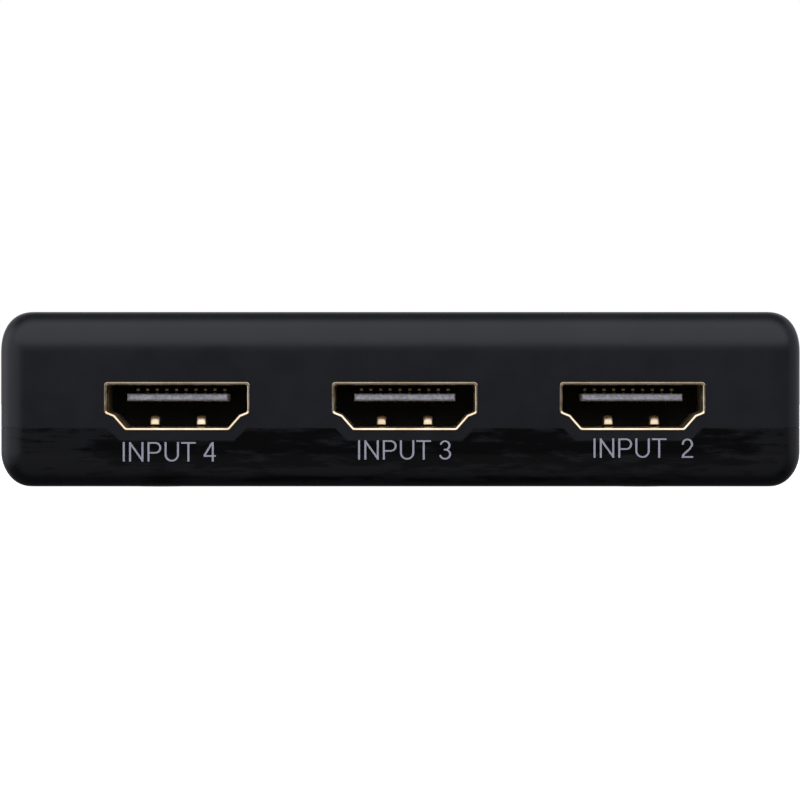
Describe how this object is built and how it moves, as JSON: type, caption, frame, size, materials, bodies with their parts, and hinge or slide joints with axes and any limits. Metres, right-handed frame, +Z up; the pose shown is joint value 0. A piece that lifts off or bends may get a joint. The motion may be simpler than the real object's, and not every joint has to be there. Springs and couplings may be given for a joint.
{
  "type": "video switch box",
  "caption": "Flat black desktop video switch box with gold-rimmed digital video sockets on two sides, a select button and indicator lights on top.",
  "frame": {"origin": "middle of the footprint, on the plane of the rubber feet", "axes": "+X along the port rows, -Y towards the face with ports 4, 3 and 2, +Z up"},
  "size_m": [0.082, 0.0582, 0.0184],
  "materials": {
    "upper_plastic": "black moulded, fine satin grain",
    "lower_plastic": "black moulded, glossier, faintly drag-marked",
    "button_plastic": "black moulded, semi-gloss",
    "clear_plastic": "clear moulded light pipe",
    "gold_plate": "gold flash over stamped metal",
    "socket_plastic": "black moulded",
    "tongue_plastic": "pale grey moulded",
    "tin_plate": "tinned, satin",
    "screw_steel": "zinc plated",
    "foot_rubber": "matte black",
    "board_laminate": "green solder mask",
    "chip_plastic": "black moulded epoxy",
    "capacitor_can": "drawn can",
    "capacitor_ceramic": "fired ceramic",
    "led_plastic": "milky moulded lens"
  },
  "bodies": {
    "case": {"top_cover": "upper_plastic", "bottom_cover": "lower_plastic", "cover_screws": "screw_steel", "rubber_feet": "foot_rubber", "light_guide": "clear_plastic", "input_1_shell": "gold_plate", "input_1_insulator": "socket_plastic", "input_1_tongue": "tongue_plastic", "input_1_contacts": "gold_plate", "input_2_shell": "gold_plate", "input_2_insulator": "socket_plastic", "input_2_tongue": "tongue_plastic", "input_2_contacts": "gold_plate", "input_3_shell": "gold_plate", "input_3_insulator": "socket_plastic", "input_3_tongue": "tongue_plastic", "input_3_contacts": "gold_plate", "input_4_shell": "gold_plate", "input_4_insulator": "socket_plastic", "input_4_tongue": "tongue_plastic", "input_4_contacts": "gold_plate", "output_shell": "gold_plate", "output_insulator": "socket_plastic", "output_tongue": "tongue_plastic", "output_contacts": "gold_plate", "power_jack_housing": "socket_plastic", "power_jack_pin": "tin_plate", "power_jack_terminals": "tin_plate", "key_switch_base": "socket_plastic", "key_switch_plate": "tin_plate", "key_switch_dome": "tin_plate", "key_switch_terminals": "tin_plate", "circuit_board": "board_laminate", "switch_chip": "chip_plastic", "switch_chip_leads": "tin_plate", "control_chip": "chip_plastic", "control_chip_leads": "tin_plate", "voltage_regulator": "chip_plastic", "regulator_leads": "tin_plate", "crystal": "tin_plate", "bulk_capacitors": "capacitor_can", "chip_capacitors": "capacitor_ceramic", "chip_resistors": "chip_plastic", "surge_arrays": "chip_plastic", "indicator_leds": "led_plastic"},
    "select_key": {"select_button": "button_plastic", "key_switch_plunger": "socket_plastic"}
  },
  "joints": [
    {"name": "button_press", "type": "slide", "parent": "case", "child": "select_key", "axis": [0, 0, -1], "range_m": [0, 0.0003], "stiffness_N_per_m": 300, "springref_m": -0.002, "deforming": ["key_switch_dome"]}
  ]
}
